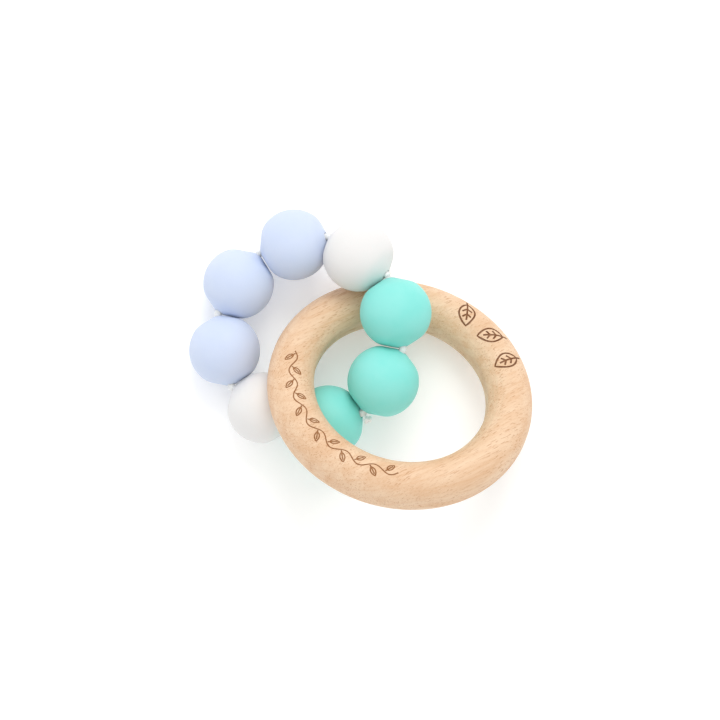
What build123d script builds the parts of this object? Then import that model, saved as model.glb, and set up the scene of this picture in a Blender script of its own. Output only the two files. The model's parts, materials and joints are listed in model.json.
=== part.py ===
"""Teething ring: a turned wooden ring linked through a closed loop of soft beads on a cord.

The ring and the loop are linked as two links of a chain. The part lies on a table as it falls:
a run of three beads is flat on the table, the rest of the loop climbs, and the ring leans through it
and over it, with its lowest point on the table.

Millimetres and degrees. +Z is up and the origin is under the middle of the part, on the table.
"""

from build123d import *
from math import acos, cos, degrees, hypot, radians, sin, sqrt
import os

# Wooden ring
ring_outer_diameter = 56.0
ring_section = 9.8

# Beads and the cord that holds them
bead_diameter = 15.0
bead_squeeze = 0.4  # neighbouring bead centres are this much nearer than one diameter
bead_bore = 2.0
cord_diameter = 1.5
knot_diameter = 2.2
knot_neck = 0.8  # diameter of the tied ends between the cord and the knot

# Colours of the beads round the loop, anticlockwise from above, from the middle of the blue run
bead_order = ["blue_bead_2", "blue_bead_3", "white_bead_2", "mint_bead_3"]
bead_order += ["mint_bead_2", "mint_bead_1", "white_bead_1", "blue_bead_1"]
lying_count = 3  # beads of the run that lies flat on the table
held_count = 3  # beads of the run that passes through the ring
side_count = 2  # beads of the run that closes the loop on the other side

# Clearances
bead_gap = 0.16  # between neighbouring beads at their widest bend
ring_gap = 0.2  # between the ring and the beads that it rests against
knuckle_gap = 0.05  # between the rounded end of one cord run and the hollow end of the next
knot_gap = 0.15  # between the knot and the bead faces on both sides of it

# How the part lies
fold_room = 2.2  # bend over the one at rest that the beads leave free where two runs meet, for their travel
ring_drop = 0.4  # the ring's centre is this far under the plane of the climbing beads
ring_yaw = -3.8  # turn of the ring's axis away from square to the line between the two centres
turn_on_table = 191.1  # heading of the lying run on the table

# Worked out from the sizes above
bead_count = len(bead_order)
bead_radius = bead_diameter / 2
cord_radius = cord_diameter / 2
knot_radius = knot_diameter / 2
ring_tube = ring_section / 2
ring_radius = (ring_outer_diameter - ring_section) / 2
step_angle = 360 / bead_count
half_step = step_angle / 2
bead_pitch = bead_diameter - bead_squeeze
loop_radius = bead_pitch / 2 / sin(radians(half_step))
bend_radius = loop_radius / cos(radians(half_step))  # the cord bends here, between the beads
bend_reach = bend_radius * sin(radians(half_step))  # from a bead's centre to the bends beside it

# Bends where the runs meet, counted in half steps of the loop
lying_first = -half_step
lying_last = lying_first + lying_count * step_angle
held_last = lying_last + held_count * step_angle

loop_normal = Vector(0, 0, 1)
lying_heading = (lying_first + lying_last) / 2
toward_lying = Vector(cos(radians(lying_heading)), sin(radians(lying_heading)), 0)
fold_distance = bend_radius * cos(radians(lying_count * half_step))


def on_loop(radius, angle):
    """A point in the plane of the climbing beads, at an angle round the loop."""
    return Vector(radius * cos(radians(angle)), radius * sin(radians(angle)), 0)


def folded(point, fold):
    """The same point after the lying run is folded up about its chord."""
    beyond = point.dot(toward_lying) - fold_distance
    if beyond <= 0:
        return point
    lifted = toward_lying * cos(radians(fold)) + loop_normal * sin(radians(fold))
    return point - toward_lying * beyond + lifted * beyond


def ring_axis(lean):
    """The ring's axis, leaning from the loop's normal."""
    flat = Vector(sin(radians(ring_yaw)), -cos(radians(ring_yaw)), 0)
    return flat * sin(radians(lean)) + loop_normal * cos(radians(lean))


def room(point, reach, lean):
    """Free space between the ring and a bead centred on the point."""
    offset = point - Vector(-reach, 0, -ring_drop)
    height = offset.dot(ring_axis(lean))
    across = (offset - ring_axis(lean) * height).length
    return hypot(across - ring_radius, height) - ring_tube - bead_radius


def bisect(wanted, low, high):
    """The value between low and high where wanted turns from false to true."""
    for _ in range(50):
        middle = (low + high) / 2
        if wanted(middle):
            high = middle
        else:
            low = middle
    return high


def lean_for(reach):
    """The least lean that leaves the ring clear of the held beads."""
    held = [on_loop(loop_radius, lying_last + half_step)]
    held.append(on_loop(loop_radius, held_last - half_step))
    return bisect(lambda lean: min(room(bead, reach, lean) for bead in held) > ring_gap, 25, 90)


def table_normal(fold):
    """The direction square to the lying run, which is up."""
    return loop_normal * cos(radians(fold)) - toward_lying * sin(radians(fold))


def ring_bottom(reach, lean, fold):
    """Height of the ring's lowest point over the table."""
    centre = Vector(-reach, 0, -ring_drop)
    up = table_normal(fold)
    fold_line = toward_lying * fold_distance
    centre_height = bead_radius + (centre - fold_line).dot(up)
    return centre_height - ring_radius * sqrt(1 - ring_axis(lean).dot(up) ** 2) - ring_tube


def fold_for(reach):
    """The fold that brings the ring's lowest point down to the table."""
    lean = lean_for(reach)
    return bisect(lambda fold: ring_bottom(reach, lean, fold) > 0, 0, 60)


def clears_lying_run(reach):
    """Whether the ring stays clear of the last bead of the lying run."""
    bead = folded(on_loop(loop_radius, lying_last - half_step), fold_for(reach))
    return room(bead, reach, lean_for(reach)) > ring_gap


ring_reach = bisect(clears_lying_run, loop_radius, loop_radius + ring_radius)
ring_lean = lean_for(ring_reach)
loop_fold = fold_for(ring_reach)
ring_centre = Vector(-ring_reach, 0, -ring_drop)

# The table's frame, seen from the loop
up = table_normal(loop_fold)
heading = (toward_lying - up * toward_lying.dot(up)).normalized()
table = Plane(origin=toward_lying * fold_distance - up * bead_radius, x_dir=heading, z_dir=up)
onto_table = Rot(0, 0, turn_on_table) * table.location.inverse()


def wooden_ring():
    """The turned ring, round in section all the way."""
    seat = Plane(origin=ring_centre, z_dir=ring_axis(ring_lean))
    return seat.location * Torus(ring_radius, ring_tube)


def pressed_end(bend):
    """The cone that a neighbour leaves free at a bead's end, for the widest bend between the two."""
    half_bend = radians(bend / 2)
    tip = bend_reach - bead_gap / 2 / cos(half_bend)
    foot = tip * cos(half_bend) / sin(half_bend)
    return Cone(foot, 0, tip, align=(Align.CENTER, Align.CENTER, Align.MIN))


def bead(centre, along, bend_before, bend_after):
    """A round bead with a bore and shallow conical ends, where its neighbours press on it."""
    ends = pressed_end(bend_after) + mirror(pressed_end(bend_before), about=Plane.XY)
    bored = (Sphere(bead_radius) & ends) - Cylinder(bead_bore / 2, 3 * bead_radius)
    return Plane(origin=centre, z_dir=along).location * bored


def cord_run(bends):
    """Cord from bend to bend, mitred between: rounded at its first bend, and hollow at its last for the next run."""
    onward = bends[1] - bends[0]
    section = Plane(origin=bends[0], z_dir=onward) * Circle(cord_radius)
    run = sweep(section, path=Polyline(*bends), transition=Transition.RIGHT)
    run += Plane(origin=bends[0], z_dir=-onward).location * Sphere(cord_radius, arc_size1=0)
    return run - Pos(bends[-1]) * Sphere(cord_radius + knuckle_gap)


def bends_between(first, count, fold):
    """The bends of a run of beads, from its first one on."""
    return [folded(on_loop(bend_radius, first + i * step_angle), fold) for i in range(count + 1)]


def knot(bend_angle, cord):
    """The tied ends of the cord: a neck and a ball, outside the bend and between two beads."""
    outward = (knot_radius + knot_gap) / sin(radians(step_angle))
    seat = Plane(origin=on_loop(bend_radius, bend_angle), z_dir=on_loop(1, bend_angle))
    neck = Cylinder(knot_neck / 2, outward, align=(Align.CENTER, Align.CENTER, Align.MIN))
    return seat.location * (neck + Pos(0, 0, outward) * Sphere(knot_radius)) - cord


lying_bends = bends_between(lying_first, lying_count, loop_fold)
held_bends = bends_between(lying_last, held_count, loop_fold)
side_bends = bends_between(held_last, side_count, loop_fold)

# The centre and direction of each bead's bore
all_bends = bends_between(lying_first, bead_count, loop_fold)
bores = {}
for name, before, after in zip(bead_order, all_bends, all_bends[1:]):
    bores[name] = ((before + after) / 2, (after - before).normalized())
directions = [direction for _, direction in bores.values()]
run_meetings = [0, lying_count, lying_count + held_count]


def widest_bend(place):
    """The widest angle between the bores on both sides of a bend, over the loop's travel."""
    place %= bead_count
    at_rest = directions[place - 1].get_angle(directions[place])
    return at_rest + fold_room if place in run_meetings else at_rest


nodes = {"beech_ring": wooden_ring()}
for number, name in enumerate(bead_order):
    nodes[name] = bead(*bores[name], widest_bend(number), widest_bend(number + 1))
nodes["cord_lying_run"] = cord_run(lying_bends)
nodes["cord_held_run"] = cord_run(held_bends)
nodes["cord_side_run"] = cord_run(side_bends)
nodes["cord_knot"] = knot(lying_last + step_angle, nodes["cord_held_run"])

# Onto the table, with the origin under the middle
placed = {name: onto_table * shape for name, shape in nodes.items()}
bounds = Compound(children=[Compound(shape.solids()) for shape in placed.values()]).bounding_box()
centring = Pos(-bounds.center().X, -bounds.center().Y, -bounds.min.Z)
os.makedirs("parts", exist_ok=True)
for name, shape in placed.items():
    export_step(centring * shape, f"parts/{name}.step")


def report_axis(label, point, direction):
    """Print a joint's place and axis on the table, in metres."""
    place = Plane(centring * onto_table * Plane(origin=point, z_dir=direction).location)
    print(label, [round(value / 1000, 6) for value in place.origin], [round(value, 6) for value in place.z_dir])


report_axis("ring_swing", ring_centre, Vector(1, 0, 0))
report_axis("ring_axis", ring_centre, ring_axis(ring_lean))
report_axis("lying_fold", lying_bends[0], (lying_bends[-1] - lying_bends[0]).normalized())
report_axis("side_fold", side_bends[0], (side_bends[-1] - side_bends[0]).normalized())
for name, (point, direction) in bores.items():
    report_axis(name, point, direction)
print("ring reach, lean and loop fold", round(ring_reach, 2), round(ring_lean, 2), round(loop_fold, 2))
print("ring tilt", round(degrees(acos(ring_axis(ring_lean).dot(up))), 2), "size", bounds.size)
for number, name in enumerate(bead_order):
    centre = folded(on_loop(loop_radius, number * step_angle), loop_fold)
    print(name, "room to the ring", round(room(centre, ring_reach, ring_lean), 2))
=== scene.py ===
"""Teething ring: a turned beech ring linked through a loop of soft silicone beads."""

import json
import math

import bmesh
import bpy
import numpy
from bpy.props import FloatProperty, FloatVectorProperty, IntProperty, PointerProperty
from mathutils import Matrix, Vector


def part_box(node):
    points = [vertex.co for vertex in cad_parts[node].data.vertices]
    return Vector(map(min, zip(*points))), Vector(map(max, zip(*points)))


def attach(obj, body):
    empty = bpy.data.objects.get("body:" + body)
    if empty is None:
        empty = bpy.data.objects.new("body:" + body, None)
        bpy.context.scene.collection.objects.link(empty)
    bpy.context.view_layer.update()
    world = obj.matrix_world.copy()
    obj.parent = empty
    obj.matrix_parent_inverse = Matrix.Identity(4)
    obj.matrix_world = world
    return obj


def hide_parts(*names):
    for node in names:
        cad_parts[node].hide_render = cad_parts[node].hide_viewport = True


bl_info = {
    "name": "Teething Ring",
    "version": (1, 0, 0),
    "blender": (4, 5, 0),
    "location": "View3D > Sidebar > Teether",
    "description": "Builds a wooden teething ring with a loop of silicone beads",
    "category": "Add Mesh",
}

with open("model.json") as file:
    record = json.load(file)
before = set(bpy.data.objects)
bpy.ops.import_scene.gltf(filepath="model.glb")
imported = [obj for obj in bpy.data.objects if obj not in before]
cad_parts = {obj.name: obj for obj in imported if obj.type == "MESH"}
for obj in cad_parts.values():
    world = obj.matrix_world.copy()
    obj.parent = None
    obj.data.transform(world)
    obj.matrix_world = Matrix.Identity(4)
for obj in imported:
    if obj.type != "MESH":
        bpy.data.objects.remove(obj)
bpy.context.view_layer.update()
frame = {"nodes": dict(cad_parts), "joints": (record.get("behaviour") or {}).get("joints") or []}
MM = 0.001
SPINS = {joint["child"]: joint for joint in frame["joints"] if joint["name"].endswith("_spin")}
SWING = next(joint for joint in frame["joints"] if joint["name"] == "loop_swing")
LOOP_ORDER = (
    "blue_bead_2",
    "blue_bead_3",
    "white_bead_2",
    "mint_bead_3",
    "mint_bead_2",
    "mint_bead_1",
    "white_bead_1",
    "blue_bead_1",
)
FOLDS = (  # neighbours on both sides of a fold, in the loop's order
    ("blue_bead_1", "blue_bead_2"),
    ("white_bead_2", "mint_bead_3"),
    ("mint_bead_1", "white_bead_1"),
)


def ring_seat():
    """The ring's centre and axes, and its centre-line radius and section radius, from its CAD mesh."""
    centre = Vector(SWING["pos_m"])
    offsets = numpy.array([v.co - centre for v in frame["nodes"]["beech_ring"].data.vertices])
    axis = Vector(numpy.linalg.eigh(offsets.T @ offsets)[1][:, 0])
    if axis.z < 0:
        axis.negate()
    right = (Vector((1, 0, 0)) - axis * axis.x).normalized()
    seat = Matrix((right, axis.cross(right), axis)).transposed().to_4x4()
    seat.translation = centre
    heights = offsets @ numpy.array(axis)
    section = float(abs(heights).max())
    reach = float(numpy.sqrt((offsets**2).sum(1) - heights**2).max())
    return seat, reach - section, section


RING_SEAT, RING_RADIUS, RING_SECTION = ring_seat()


# Properties


def length(name, description, default):
    """A size in metres, shown in the scene's units."""
    return FloatProperty(
        name=name, description=description, default=default, min=0, unit="LENGTH", precision=5
    )


def colour(name, description, default):
    """A colour that the user picks."""
    return FloatVectorProperty(
        name=name, description=description, default=default, size=3, subtype="COLOR", min=0, max=1
    )


def angle(name, description, degrees):
    """An angle, given in degrees here."""
    return FloatProperty(
        name=name, description=description, default=math.radians(degrees), subtype="ANGLE"
    )


class TEETHER_PG_ring(bpy.types.PropertyGroup):
    """Sizes and colours of the beech ring"""

    inner_land: angle("Inner land", "Half width of the flat that the lathe leaves inside the hole", 15)
    outer_land: angle("Outer land", "Half width of the flat round the outside", 9)
    lathe_line: length("Lathe line", "Depth of the lathe's fine lines inside the hole", 0.06 * MM)
    stroke: length("Leaf stroke", "Radius of the burnt lines of the three leaves", 0.21 * MM)
    fine_stroke: length("Vine stroke", "Radius of the burnt lines of the vine", 0.15 * MM)
    wood: colour("Beech", "Sanded beech", (0.83, 0.61, 0.42))
    wood_dark: colour("Beech grain", "Darker grain of the beech", (0.71, 0.44, 0.255))
    fleck: colour("Ray flecks", "Short flecks along the grain", (0.46, 0.20, 0.08))
    burnt: colour("Burnt leaves", "Colour inside the burnt leaves", (0.17, 0.052, 0.012))
    burnt_fine: colour("Burnt vine", "Colour inside the fine burnt lines", (0.32, 0.13, 0.04))


class TEETHER_PG_beads(bpy.types.PropertyGroup):
    """Sizes and colours of the silicone beads"""

    bore: length("Bore", "Diameter of the hole through each bead", 2.0 * MM)
    gap: length("Bead gap", "Room between neighbouring beads at their widest bend", 0.16 * MM)
    fold_room: angle("Fold room", "Bend over the one at rest that is left free where the loop folds", 2.2)
    shoulder: length("Shoulder", "Length of the rounding between the round and the pressed end", 0.9 * MM)
    mouth: length("Mouth", "Length of the rounding at the bore's mouth", 0.15 * MM)
    steps: IntProperty(name="Steps", description="Steps round each bead", default=96, min=24)
    blue: colour("Blue silicone", "Pale periwinkle beads", (0.61, 0.69, 0.865))
    white: colour("White silicone", "White beads", (0.80, 0.79, 0.78))
    mint: colour("Mint silicone", "Mint beads", (0.245, 0.75, 0.685))


class TEETHER_PG_cord(bpy.types.PropertyGroup):
    """Sizes and colour of the cord and its knot"""

    strand: length("Strand", "Radius of the cord in the knot", 0.34 * MM)
    tail: length("Tail", "Radius of the two pulled ends between the cord and its knot", 0.2 * MM)
    tint: colour("Cord", "White cord", (0.80, 0.81, 0.80))


class TEETHER_PG_stage(bpy.types.PropertyGroup):
    """The floor, the lights and the camera"""

    floor: colour("Floor", "Plain pale floor", (0.93, 0.93, 0.93))
    key: FloatProperty(
        name="Lights",
        description="Power of the top light, of which the key light has a fixed multiple",
        default=2.1,
        subtype="POWER",
    )
    sky: FloatProperty(name="Sky", description="Strength of the even light all round", default=0.84)
    glow: FloatProperty(
        name="Floor glow", description="Light that the floor gives off itself", default=0.16, min=0
    )
    lens: FloatProperty(
        name="Lens", description="Focal length of the camera, in millimetres", default=141.57
    )


# Shared modelling steps


def clear_selection():
    """Leave the last piece alone before the next is added."""
    if bpy.context.object and bpy.context.object.mode != "OBJECT":
        bpy.ops.object.mode_set(mode="OBJECT")
    bpy.ops.object.select_all(action="DESELECT")


def select_only(piece):
    """Make a piece the only selected and active one."""
    clear_selection()
    piece.select_set(True)
    bpy.context.view_layer.objects.active = piece


def settle(piece, place):
    """Move a piece's mesh to its place, leaving its object at the origin."""
    piece.data.transform(place)
    piece.data.update()


def edit_points(piece, move):
    """Move every point of a piece in edit mode."""
    bpy.ops.object.mode_set(mode="EDIT")
    mesh = bmesh.from_edit_mesh(piece.data)
    for index, point in enumerate(mesh.verts):
        point.co = move(index, point.co)
    bmesh.update_edit_mesh(piece.data)
    bpy.ops.object.mode_set(mode="OBJECT")


def tube(name, points, radius, closed=False):
    """A round bar along a line of points."""
    clear_selection()
    bpy.ops.curve.primitive_nurbs_path_add()
    bar = bpy.context.object
    bar.name = name
    line = bar.data
    line.splines.clear()
    spline = line.splines.new("POLY")
    spline.points.add(len(points) - 1)
    for control, point in zip(spline.points, points):
        control.co = (*point, 1)
    spline.use_cyclic_u = closed
    line.bevel_depth = radius
    line.bevel_resolution = 2
    line.use_fill_caps = True
    bpy.ops.object.convert(target="MESH")
    return bpy.context.object


def join(pieces, name):
    """One piece made of several."""
    clear_selection()
    for piece in pieces:
        piece.select_set(True)
    bpy.context.view_layer.objects.active = pieces[0]
    bpy.ops.object.join()
    bpy.context.object.name = name
    return bpy.context.object


def smooth(piece, degrees):
    """Smooth shading, with edges over an angle kept crisp."""
    select_only(piece)
    bpy.ops.object.shade_smooth_by_angle(angle=math.radians(degrees))


def paint(piece, *materials):
    """Give a piece its materials in place of any it has."""
    piece.data.materials.clear()
    for material in materials:
        piece.data.materials.append(material)


# Materials


GRAIN_HEADING = math.radians(36)  # heading of the board's grain on the table
FIBRE_GLINT = (0.90, 0.91, 0.90)


class Recipe:
    """A material's node tree, with short ways to add and link nodes."""

    def __init__(self, name):
        self.material = bpy.data.materials.new(name)
        self.material.use_nodes = True
        self.tree = self.material.node_tree
        self.shader = self.tree.nodes["Principled BSDF"]
        self.place = self.tree.nodes.new("ShaderNodeTexCoord").outputs["Object"]

    def add(self, kind, inputs=None, **settings):
        """A node, with its inputs linked or set."""
        node = self.tree.nodes.new(kind)
        for key, value in settings.items():
            setattr(node, key, value)
        for key, value in (inputs or {}).items():
            if isinstance(value, bpy.types.NodeSocket):
                self.tree.links.new(value, node.inputs[key])
            else:
                node.inputs[key].default_value = value
        return node

    def mapped(self, turn=(0, 0, 0), scale=(1, 1, 1)):
        """Object coordinates, turned and then stretched."""
        turned = self.add("ShaderNodeMapping", {"Vector": self.place, "Rotation": turn}, vector_type="POINT")
        inputs = {"Vector": turned.outputs[0], "Scale": scale}
        return self.add("ShaderNodeMapping", inputs, vector_type="POINT").outputs[0]

    def noise(self, vector, scale, detail=3.0, roughness=0.55):
        """Clouded noise, from 0 to 1."""
        inputs = {"Vector": vector, "Scale": scale, "Detail": detail, "Roughness": roughness}
        return self.add("ShaderNodeTexNoise", inputs).outputs["Fac"]

    def remap(self, value, low, high, to_low=0.0, to_high=1.0):
        """A value eased from one range into another."""
        inputs = {"Value": value, "From Min": low, "From Max": high, "To Min": to_low, "To Max": to_high}
        return self.add("ShaderNodeMapRange", inputs, interpolation_type="SMOOTHSTEP").outputs["Result"]

    def mix(self, share, first, second):
        """A colour between two, by a share of the second."""
        node = self.add("ShaderNodeMix", data_type="RGBA")
        for socket, value in ((0, share), (6, first), (7, second)):
            if isinstance(value, bpy.types.NodeSocket):
                self.tree.links.new(value, node.inputs[socket])
            else:
                node.inputs[socket].default_value = value
        return node.outputs[2]

    def sum(self, first, second, share):
        """first plus a share of second."""
        inputs = {0: second, 1: share, 2: first}
        return self.add("ShaderNodeMath", inputs, operation="MULTIPLY_ADD").outputs[0]

    def bump(self, height, distance, strength=1.0):
        """Relief on the surface, distance high."""
        inputs = {"Height": height, "Distance": distance, "Strength": strength}
        node = self.add("ShaderNodeBump", inputs)
        self.tree.links.new(node.outputs["Normal"], self.shader.inputs["Normal"])

    def feed(self, socket, value):
        """Link or set one of the shader's sockets."""
        if isinstance(value, bpy.types.NodeSocket):
            self.tree.links.new(value, self.shader.inputs[socket])
        else:
            self.shader.inputs[socket].default_value = value


def opaque(rgb):
    """A colour with full alpha."""
    return (*rgb, 1.0)


def grain_turn():
    """The turn that brings the board's grain, which runs straight across the ring, onto X."""
    along = Vector((math.cos(GRAIN_HEADING), math.sin(GRAIN_HEADING), 0))
    axis = RING_SEAT.to_3x3() @ Vector((0, 0, 1))
    grain = (along - axis * along.dot(axis)).normalized()
    return Matrix((grain, axis.cross(grain), axis)).to_euler("XYZ")


def beech_wood(ring, name, tint=None):
    """Sanded beech: straight grain of one board, short ray flecks and fine pores.

    The scales run along the grain, across it and through the board. A tint is for burnt lines.
    """
    recipe = Recipe(name)
    turn = grain_turn()
    boards = recipe.noise(recipe.mapped(turn, (14, 300, 500)), 1.0, 3.0)
    streaks = recipe.noise(recipe.mapped(turn, (90, 2600, 3400)), 1.0, 4.0, 0.65)
    flecks = recipe.noise(recipe.mapped(turn, (560, 5200, 4200)), 1.0, 1.0, 0.5)
    patches = recipe.noise(recipe.place, 120.0, 2.0)
    pores = recipe.noise(recipe.mapped(turn, (1900, 11000, 11000)), 1.0, 2.0, 0.6)
    grain = recipe.sum(recipe.remap(boards, 0.3, 0.7, 0.05, 0.35), streaks, 0.6)
    wood = recipe.mix(recipe.remap(grain, 0.2, 0.9), opaque(ring.wood), opaque(ring.wood_dark))
    rings = {"Vector": recipe.mapped(turn, (40, 190, 260)), "Scale": 1.0, "Distortion": 3.0, "Detail": 2.0}
    rings = recipe.add("ShaderNodeTexWave", rings, bands_direction="DIAGONAL").outputs["Fac"]
    wood = recipe.mix(recipe.remap(rings, 0.86, 1.0, 0.0, 0.30), wood, opaque(ring.wood_dark))
    bare = recipe.remap(patches, 0.35, 0.6, 0.35, 1.0)
    marks = {0: recipe.remap(flecks, 0.60, 0.67, 0.0, 0.6), 1: bare}
    marks = recipe.add("ShaderNodeMath", marks, operation="MULTIPLY")
    wood = recipe.mix(marks.outputs[0], wood, opaque(ring.fleck))
    wood = recipe.mix(recipe.remap(pores, 0.60, 0.72, 0.0, 0.35), wood, opaque(ring.fleck))
    if tint:
        wood = recipe.mix(recipe.remap(streaks, 0.25, 0.75, 0.72, 0.97), wood, opaque(tint))
    recipe.feed("Base Color", wood)
    recipe.feed("Roughness", recipe.remap(grain, 0.2, 0.9, 0.5, 0.66))
    recipe.feed("Specular IOR Level", 0.1 if tint else 0.4)
    recipe.bump(recipe.sum(recipe.sum(0.0, streaks, 0.6), flecks, 0.5), 0.05 * MM, 0.5)
    return recipe.material


def silicone(name, tint):
    """Matte moulded silicone: soft light inside, little gloss and the mould's fine texture."""
    recipe = Recipe(name)
    cloud = recipe.noise(recipe.place, 160.0, 3.0)
    skin = recipe.noise(recipe.place, 5200.0, 3.0, 0.6)
    dimples = recipe.noise(recipe.place, 900.0, 2.0)
    paler = opaque(channel + (1 - channel) * 0.10 for channel in tint)
    recipe.feed("Base Color", recipe.mix(recipe.remap(cloud, 0.3, 0.7, 0.0, 0.5), opaque(tint), paler))
    recipe.feed("Roughness", recipe.remap(skin, 0.3, 0.7, 0.50, 0.62))
    recipe.feed("Subsurface Weight", 0.25)
    recipe.feed("Subsurface Radius", (1.0, 0.9, 0.9))
    recipe.feed("Subsurface Scale", 1.2 * MM)
    recipe.feed("Specular IOR Level", 0.18)
    recipe.bump(recipe.sum(skin, dimples, 0.7), 0.012 * MM, 0.6)
    return recipe.material


def cord_finish(tint):
    """Smooth pale nylon, slightly translucent, with the fine lay of its fibres."""
    recipe = Recipe("nylon_cord")
    fibres = recipe.noise(recipe.place, 3800.0, 3.0, 0.6)
    recipe.feed("Base Color", recipe.mix(recipe.remap(fibres, 0.3, 0.7), opaque(tint), opaque(FIBRE_GLINT)))
    recipe.feed("Roughness", recipe.remap(fibres, 0.3, 0.7, 0.22, 0.4))
    recipe.bump(fibres, 0.03 * MM, 0.5)
    return recipe.material


# The ring and its burnt marks


TURNING_STEPS = 320  # steps round the ring
RING_STEPS = 96  # steps round the ring's section
LATHE_LINES = (120.0, 135.0, 146.25)  # degrees round the section, from the outside, of the fine lines

LEAVES = ((52.0, 120.0), (34.5, 58.0), (17.0, 100.0))  # heading and tilt of each leaf, in degrees
LEAF_RISE = math.radians(91)
LEAF_LENGTH = 5.6 * MM
LEAF_WIDTH = 3.4 * MM
LEAF_VEINS = 2  # pairs of side veins
LEAF_STEPS = 14
LEAF_FULLNESS = 0.8  # under 1 rounds the leaf's sides
LEAF_BASE = 1.15  # width at the base, against an even leaf
LEAF_TAPER = 0.3  # width lost from base to tip

# Shares of the leaf's length, from its middle
MIDRIB_START = 0.72  # this far behind the middle, where it sticks out as a stalk
VEIN_ROOT = -0.22
VEIN_SPACING = 0.24
VEIN_RISE = 0.13
VEIN_REACH = 0.62  # share of the leaf's half width
VEIN_STEPS = 4

VINE = (167.0, 265.0)  # headings where the vine starts and ends, in degrees
VINE_RISE = math.radians(87)
VINE_WAVES = 6
VINE_SWAY = 0.75 * MM
VINE_STEPS = 120
VINE_LEAF_OFFSET = 0.95 * MM
VINE_LEAF_TILT = math.radians(48)
VINE_LEAF_LENGTH = 2.1 * MM
VINE_LEAF_WIDTH = 1.0 * MM


def on_wood(heading, rise, along=0.0, across=0.0):
    """A point on the ring's surface, from angles round the ring and its section and offsets in metres."""
    section = rise + across / RING_SECTION
    radius = RING_RADIUS + RING_SECTION * math.cos(section)
    turn = heading + along / radius
    local = Vector((radius * math.cos(turn), radius * math.sin(turn), RING_SECTION * math.sin(section)))
    return RING_SEAT @ local


def leaf_lines(heading, rise, tilt, size, width, veins):
    """The lines of a drawn leaf: its outline, its midrib and pairs of side veins."""
    cos_tilt, sin_tilt = math.cos(tilt), math.sin(tilt)

    def spot(forward, sideways):
        """A point on the wood, from the leaf's middle."""
        along = forward * cos_tilt - sideways * sin_tilt
        return on_wood(heading, rise, along, forward * sin_tilt + sideways * cos_tilt)

    def half_width(share):
        """Half the leaf's width at a share of its length."""
        return width / 2 * math.sin(math.pi * share) ** LEAF_FULLNESS * (LEAF_BASE - LEAF_TAPER * share)

    shares = [i / LEAF_STEPS for i in range(LEAF_STEPS + 1)]
    left = [spot((share - 0.5) * size, half_width(share)) for share in shares]
    right = [spot((share - 0.5) * size, -half_width(share)) for share in shares]
    lines = [(left + right[-2:0:-1], True)]
    lines.append(([spot((share - MIDRIB_START) * size, 0) for share in shares], False))
    for pair in range(veins):
        root = VEIN_ROOT + VEIN_SPACING * pair
        tip = root + VEIN_RISE
        reach = half_width(tip + 0.5) * VEIN_REACH
        for side in (-1, 1):
            line = []
            for i in range(VEIN_STEPS + 1):
                forward = (root + (tip - root) * i / VEIN_STEPS) * size
                line.append(spot(forward, side * reach * i / VEIN_STEPS))
            lines.append((line, False))
    return lines


def vine_lines():
    """The lines of a waving vine with a small leaf on each wave's side."""
    first, last = (math.radians(value) for value in VINE)
    line = []
    for i in range(VINE_STEPS + 1):
        share = i / VINE_STEPS
        wave = math.sin(2 * math.pi * VINE_WAVES * share)
        line.append(on_wood(first + (last - first) * share, VINE_RISE, 0, VINE_SWAY * wave))
    lines = [(line, False)]
    for half in range(2 * VINE_WAVES):
        side = 1 if half % 2 == 0 else -1
        heading = first + (last - first) * (half + 0.5) / (2 * VINE_WAVES)
        rise = VINE_RISE - side * VINE_LEAF_OFFSET / RING_SECTION
        lines += leaf_lines(heading, rise, -side * VINE_LEAF_TILT, VINE_LEAF_LENGTH, VINE_LEAF_WIDTH, 0)
    return lines


def cutter(name, lines, radius, material):
    """Bars along drawn lines, which cut them into the wood."""
    bars = [tube(name, points, radius, closed) for points, closed in lines]
    joined = join(bars, name)
    paint(joined, material)
    return joined


def carve(piece, tool):
    """Cut a tool's shape out of a piece, with the tool's finish left in the cut."""
    select_only(piece)
    bpy.ops.object.modifier_add(type="BOOLEAN")
    cut = piece.modifiers[-1]
    cut.operation = "DIFFERENCE"
    cut.solver = "EXACT"
    cut.use_self = True
    cut.object = tool
    cut.material_mode = "TRANSFER"
    bpy.ops.object.modifier_apply(modifier=cut.name)
    bpy.data.objects.remove(tool)


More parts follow.
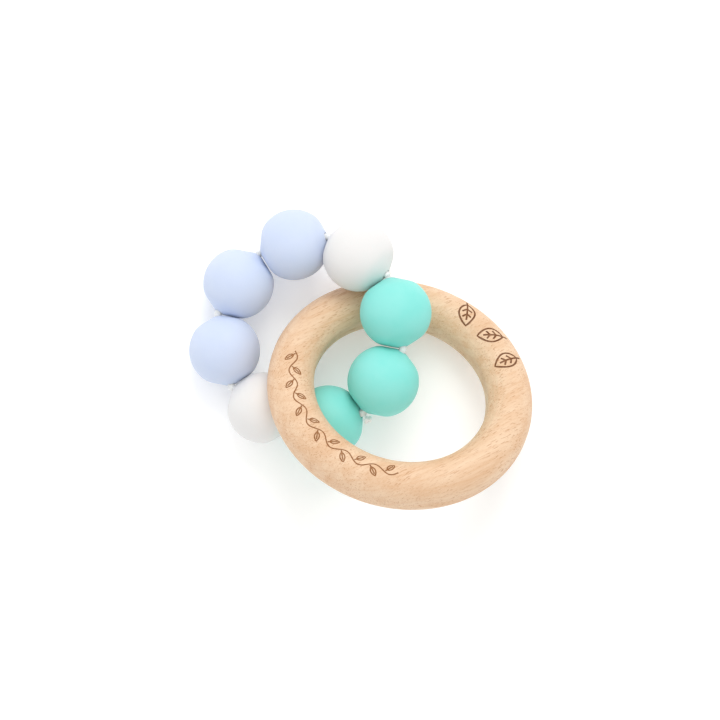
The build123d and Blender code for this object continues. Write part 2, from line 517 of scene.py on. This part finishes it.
class TEETHER_OT_ring(bpy.types.Operator):
    """Turn the beech ring and burn its marks"""

    bl_idname = "teether.ring"
    bl_label = "Beech Ring"

    def execute(self, context):
        ring = context.scene.teether_ring
        clear_selection()
        bpy.ops.mesh.primitive_torus_add(
            major_radius=RING_RADIUS,
            minor_radius=RING_SECTION,
            major_segments=TURNING_STEPS,
            minor_segments=RING_STEPS,
        )
        wood = bpy.context.object
        wood.name = "turned_beech_ring"
        inner = RING_RADIUS - RING_SECTION * math.cos(ring.inner_land)
        outer = RING_RADIUS + RING_SECTION * math.cos(ring.outer_land)
        lines = [math.radians(rise) for rise in LATHE_LINES]

        def turned(_, point):
            """The point on the turned ring, with its lands and fine lines."""
            around = Vector((point.x, point.y, 0)).normalized()
            core = around * RING_RADIUS
            rise = abs(math.atan2(point.z, (point - core).dot(around)))
            if min(abs(rise - line) for line in lines) < math.pi / RING_STEPS:
                point = point + (core - point).normalized() * ring.lathe_line
            across = min(max(point.dot(around), inner), outer)
            return around * across + Vector((0, 0, point.z))

        edit_points(wood, turned)
        settle(wood, RING_SEAT)
        paint(wood, beech_wood(ring, "sanded_beech"))
        leaves = []
        for heading, tilt in LEAVES:
            heading, tilt = math.radians(heading), math.radians(tilt)
            leaves += leaf_lines(heading, LEAF_RISE, tilt, LEAF_LENGTH, LEAF_WIDTH, LEAF_VEINS)
        burnt = beech_wood(ring, "burnt_beech", ring.burnt)
        fine = beech_wood(ring, "lightly_burnt_beech", ring.burnt_fine)
        tools = [cutter("leaf_burner", leaves, ring.stroke, burnt)]
        tools.append(cutter("vine_burner", vine_lines(), ring.fine_stroke, fine))
        carve(wood, join(tools, "burner"))
        smooth(wood, 28)
        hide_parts("beech_ring")
        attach(wood, "ring")
        return {"FINISHED"}


# The beads


ROUND_STEPS = 22  # steps of the outline from the equator to the shoulder
SHOULDER_STEPS = 5
MOUTH_STEPS = 4
BORE_STEPS = 5
MERGE_DISTANCE = 0.002 * MM


def blend(start, corner, end, steps):
    """Points of a soft curve that replaces a corner."""
    points = []
    for i in range(steps + 1):
        t = i / steps
        points.append(start * (1 - t) ** 2 + corner * 2 * t * (1 - t) + end * t**2)
    return points


def half_profile(beads, radius, reach, bend):
    """One end of a bead's outline, from its equator to inside its bore, as radius and height."""
    half_bend = bend / 2
    face = reach * math.cos(half_bend) - beads.gap / 2  # distance of the pressed face from the centre
    edge = half_bend + math.acos(face / radius)
    shoulder = Vector((math.sin(edge), math.cos(edge))) * radius
    bore = beads.bore / 2
    mouth = Vector((bore, (face - bore * math.sin(half_bend)) / math.cos(half_bend)))
    down = (mouth - shoulder).normalized()
    round_end = edge + beads.shoulder / radius
    points = []
    for i in range(ROUND_STEPS + 1):
        polar = math.pi / 2 + (round_end - math.pi / 2) * i / ROUND_STEPS
        points.append(Vector((math.sin(polar), math.cos(polar))) * radius)
    points += blend(points.pop(), shoulder, shoulder + down * beads.shoulder, SHOULDER_STEPS)
    inside = mouth - Vector((0, beads.mouth))
    points += blend(mouth - down * beads.mouth, mouth, inside, MOUTH_STEPS)
    return points


def bead_outline(beads, radius, reach, bend_before, bend_after):
    """A bead's closed outline, to be spun round its bore."""
    top = half_profile(beads, radius, reach, bend_after)
    bottom = half_profile(beads, radius, reach, bend_before)
    lower = [Vector((point.x, -point.y)) for point in bottom[1:]]
    wall = []
    for i in range(1, BORE_STEPS):
        height = lower[-1].y * (1 - i / BORE_STEPS) + top[-1].y * i / BORE_STEPS
        wall.append(Vector((beads.bore / 2, height)))
    return lower + wall + top[::-1]


def spun_bead(name, outline, steps):
    """A bead turned from its outline, with its bore along Z."""
    clear_selection()
    bpy.ops.mesh.primitive_circle_add(vertices=len(outline), fill_type="NOTHING")
    bead = bpy.context.object
    bead.name = name
    edit_points(bead, lambda index, _: Vector((outline[index].x, 0, outline[index].y)))
    bpy.ops.object.mode_set(mode="EDIT")
    bpy.ops.mesh.select_all(action="SELECT")
    bpy.ops.mesh.spin(steps=steps, angle=2 * math.pi, center=(0, 0, 0), axis=(0, 0, 1))
    bpy.ops.mesh.select_all(action="SELECT")
    bpy.ops.mesh.remove_doubles(threshold=MERGE_DISTANCE)
    bpy.ops.mesh.normals_make_consistent(inside=False)
    bpy.ops.object.mode_set(mode="OBJECT")
    bpy.ops.object.shade_smooth()
    return bead


def bend_between(first, second):
    """The angle between two beads' bores, and how far from a bead's centre they cross."""
    one, other = SPINS[first], SPINS[second]
    turn = Vector(one["axis"]).angle(Vector(other["axis"]))
    pitch = (Vector(one["pos_m"]) - Vector(other["pos_m"])).length
    return turn, pitch / 2 / math.cos(turn / 2)


class TEETHER_OT_beads(bpy.types.Operator):
    """Mould the silicone beads on their bores"""

    bl_idname = "teether.beads"
    bl_label = "Silicone Beads"

    def execute(self, context):
        beads = context.scene.teether_beads
        finishes = {}
        for tone in ("blue", "white", "mint"):
            finishes[tone] = silicone(f"{tone}_silicone", getattr(beads, tone))
        corner, far_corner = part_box("blue_bead_3")
        radius = max(far_corner - corner) / 2
        for place, name in enumerate(LOOP_ORDER):
            before = LOOP_ORDER[place - 1]
            after = LOOP_ORDER[(place + 1) % len(LOOP_ORDER)]
            bends = []
            for pair in ((before, name), (name, after)):
                turn, reach = bend_between(*pair)
                bends.append(turn + beads.fold_room if pair in FOLDS else turn)
            outline = bead_outline(beads, radius, reach, *bends)
            bead = spun_bead(f"{name}_soft", outline, beads.steps)
            along = Vector(SPINS[name]["axis"]).to_track_quat("Z", "Y").to_matrix().to_4x4()
            settle(bead, Matrix.Translation(SPINS[name]["pos_m"]) @ along)
            tone = name.split("_")[0]
            paint(bead, finishes[tone])
            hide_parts(name)
            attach(bead, name)
        return {"FINISHED"}


# The cord


KNOT_STEPS = 72


def overhand_line():
    """The line of an overhand knot drawn up tight, in a ball of radius one."""
    points = []
    for i in range(KNOT_STEPS + 1):
        t = 2 * math.pi * i / KNOT_STEPS
        across = math.sin(t) + 2 * math.sin(2 * t)
        rise = math.cos(t) - 2 * math.cos(2 * t)
        points.append(Vector((across, rise, -math.sin(3 * t))) / 3)
    return points


def knot_seat():
    """Where the cord bends under its knot, the way out from there, and the knot's distance and radius."""
    inner, outer = SPINS["mint_bead_3"], SPINS["mint_bead_2"]
    _, reach = bend_between("mint_bead_3", "mint_bead_2")
    bend = Vector(inner["pos_m"]) + Vector(inner["axis"]) * reach
    middle = (Vector(inner["pos_m"]) + Vector(outer["pos_m"])) / 2
    outward = (bend - middle).normalized()
    low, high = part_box("cord_knot")
    radius = min(high - low) / 2
    tip = max((v.co - bend).dot(outward) for v in frame["nodes"]["cord_knot"].data.vertices)
    return bend, outward, tip - radius, radius


class TEETHER_OT_cord(bpy.types.Operator):
    """Finish the cord and tie its knot"""

    bl_idname = "teether.cord"
    bl_label = "Cord and Knot"

    def execute(self, context):
        cord = context.scene.teether_cord
        nylon = cord_finish(cord.tint)
        for node in ("cord_held_run", "cord_lying_run", "cord_side_run"):
            for slot in frame["nodes"][node].material_slots:
                slot.material = nylon
        bend, outward, distance, radius = knot_seat()
        middle = bend + outward * distance
        seat = Matrix.Translation(middle) @ outward.to_track_quat("Z", "Y").to_matrix().to_4x4()
        line = [seat @ (point * (radius - cord.strand)) for point in overhand_line()]
        strands = [tube("knot", line[:-1], cord.strand, True)]
        beside = outward.cross(Vector(SPINS["mint_bead_3"]["axis"])).normalized() * cord.tail
        for side in (-1, 1):
            strands.append(tube("tail", [bend + beside * side, middle + beside * side], cord.tail))
        knot = join(strands, "tied_knot")
        paint(knot, nylon)
        smooth(knot, 40)
        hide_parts("cord_knot")
        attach(knot, "held_run")
        return {"FINISHED"}


# The stage


FLOOR_SIZE = 6.0
FLOOR_DROP = 0.02 * MM  # the floor lies this far under the part
LIGHT_TARGET = Vector((0, 0, 0.01))
KEY_PLACE = Vector((0.08, 0.75, 0.95))
KEY_SIZE = 0.7
KEY_SHARE = 2.2  # power of the key light, against the top light's
KEY_TINT = (1.0, 0.985, 0.96)
TOP_PLACE = Vector((-0.1, 0.1, 1.3))
TOP_SIZE = 1.2
TOP_TINT = (0.97, 0.985, 1.0)
CAMERA_PLACE = Vector((-0.0330, -0.0717, 0.6023))
CAMERA_LOOK = Vector((0.0553, 0.1207, -0.9912))
CAMERA_TOP = Vector((-0.0065, 0.9927, 0.1205))


def area_light(name, place, size, power, tint):
    """A broad soft light aimed at the part."""
    bpy.ops.object.light_add(type="AREA", location=place)
    light = bpy.context.object
    light.name = name
    light.data.shape = "DISK"
    light.data.size = size
    light.data.energy = power
    light.data.color = tint
    light.rotation_euler = (LIGHT_TARGET - place).to_track_quat("-Z", "Y").to_euler()


class TEETHER_OT_stage(bpy.types.Operator):
    """Set the floor, the lights and the camera"""

    bl_idname = "teether.stage"
    bl_label = "Stage"

    def execute(self, context):
        stage = context.scene.teether_stage
        clear_selection()
        bpy.ops.mesh.primitive_plane_add(size=FLOOR_SIZE, location=(0, 0, -FLOOR_DROP))
        floor = bpy.context.object
        floor.name = "pale_floor"
        recipe = Recipe("pale_floor")
        paper = recipe.noise(recipe.place, 900.0, 2.0)
        paler = opaque(min(1.0, channel + 0.02) for channel in stage.floor)
        recipe.feed("Base Color", recipe.mix(paper, opaque(stage.floor), paler))
        recipe.feed("Emission Color", (1.0, 1.0, 1.0, 1.0))
        recipe.feed("Emission Strength", stage.glow)
        recipe.feed("Roughness", 0.9)
        paint(floor, recipe.material)
        area_light("key_light", KEY_PLACE, KEY_SIZE, stage.key * KEY_SHARE, KEY_TINT)
        area_light("top_light", TOP_PLACE, TOP_SIZE, stage.key, TOP_TINT)
        world = bpy.data.worlds.new("studio")
        context.scene.world = world
        world.use_nodes = True
        sky = world.node_tree.nodes["Background"].inputs
        sky["Color"].default_value = (1, 1, 1, 1)
        sky["Strength"].default_value = stage.sky
        context.scene.view_settings.view_transform = "Standard"
        bpy.ops.object.camera_add(location=CAMERA_PLACE)
        camera = bpy.context.object
        back = -CAMERA_LOOK.normalized()
        right = CAMERA_TOP.cross(back).normalized()
        camera.rotation_euler = Matrix((right, back.cross(right), back)).transposed().to_euler()
        camera.data.sensor_width = 36
        camera.data.lens = stage.lens
        camera.data.clip_start = 0.01
        camera.data.clip_end = 20
        context.scene.camera = camera
        return {"FINISHED"}


class TEETHER_PT_panel(bpy.types.Panel):
    """Lists the pieces of the teething ring"""

    bl_label = "Teething Ring"
    bl_idname = "TEETHER_PT_panel"
    bl_space_type = "VIEW_3D"
    bl_region_type = "UI"
    bl_category = "Teether"

    def draw(self, context):
        """One box for each operator, with its settings."""
        for operator, group in STEPS:
            box = self.layout.box()
            box.operator(operator)
            settings = getattr(context.scene, group)
            for name in settings.__annotations__:
                box.prop(settings, name)


STEPS = (
    ("teether.stage", "teether_stage"),
    ("teether.ring", "teether_ring"),
    ("teether.beads", "teether_beads"),
    ("teether.cord", "teether_cord"),
)
GROUPS = {
    "teether_ring": TEETHER_PG_ring,
    "teether_beads": TEETHER_PG_beads,
    "teether_cord": TEETHER_PG_cord,
    "teether_stage": TEETHER_PG_stage,
}
OPERATORS = (TEETHER_OT_stage, TEETHER_OT_ring, TEETHER_OT_beads, TEETHER_OT_cord)


def register():
    """Make the settings, the operators and the panel known."""
    for name, group in GROUPS.items():
        bpy.utils.register_class(group)
        setattr(bpy.types.Scene, name, PointerProperty(type=group))
    for item in (*OPERATORS, TEETHER_PT_panel):
        bpy.utils.register_class(item)


def unregister():
    """Take away what register added."""
    for item in (TEETHER_PT_panel, *reversed(OPERATORS)):
        bpy.utils.unregister_class(item)
    for name, group in GROUPS.items():
        delattr(bpy.types.Scene, name)
        bpy.utils.unregister_class(group)


def main():
    """Build the whole object."""
    register()
    bpy.ops.teether.stage()
    bpy.ops.teether.ring()
    bpy.ops.teether.beads()
    bpy.ops.teether.cord()
    bpy.context.view_layer.update()


if __name__ == "__main__":
    main()
